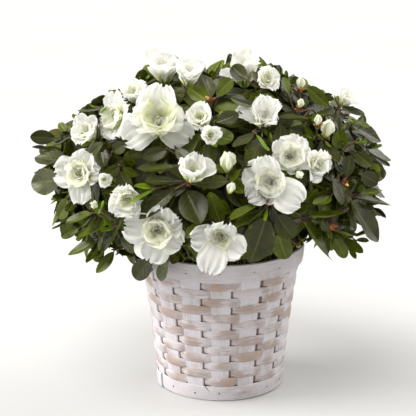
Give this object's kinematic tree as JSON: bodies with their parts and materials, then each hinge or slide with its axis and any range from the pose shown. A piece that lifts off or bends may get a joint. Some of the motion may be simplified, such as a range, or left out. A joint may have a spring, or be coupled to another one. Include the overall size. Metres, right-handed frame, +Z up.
{
  "type": "potted azalea shrub",
  "caption": "Flowering double white azalea, a low domed shrub on a short branching stem, in a whitewashed woven splint basket that stands on its flat base",
  "frame": {"origin": "centre of the basket's flat underside, on the surface that it stands on", "axes": "+Z up along the basket's axis, -Y towards the side seen in the picture, +X to its right"},
  "size_m": [0.3989, 0.372, 0.3965],
  "materials": {
    "splint": "matte",
    "band": "matte",
    "moss_and_soil": "matte",
    "bark": "matte",
    "foliage": "satin",
    "petal": "matte"
  },
  "bodies": {
    "root": {"basket_weave": "splint", "basket_floor": "splint", "basket_rim_band": "band", "basket_foot_band": "band", "root_ball": "moss_and_soil", "trunk": "bark", "bough_top": "bark", "bough_upper_1": "bark", "bough_upper_2": "bark", "bough_upper_3": "bark", "bough_upper_4": "bark", "bough_upper_5": "bark", "bough_lower_1": "bark", "bough_lower_2": "bark", "bough_lower_3": "bark", "bough_lower_4": "bark", "bough_lower_5": "bark", "bough_lower_6": "bark", "bough_lower_7": "bark", "foliage_top": "foliage", "foliage_upper_1": "foliage", "foliage_upper_2": "foliage", "foliage_upper_3": "foliage", "foliage_upper_4": "foliage", "foliage_upper_5": "foliage", "foliage_lower_1": "foliage", "foliage_lower_2": "foliage", "foliage_lower_3": "foliage", "foliage_lower_4": "foliage", "foliage_lower_5": "foliage", "foliage_lower_6": "foliage", "foliage_lower_7": "foliage"}
  },
  "joints": []
}
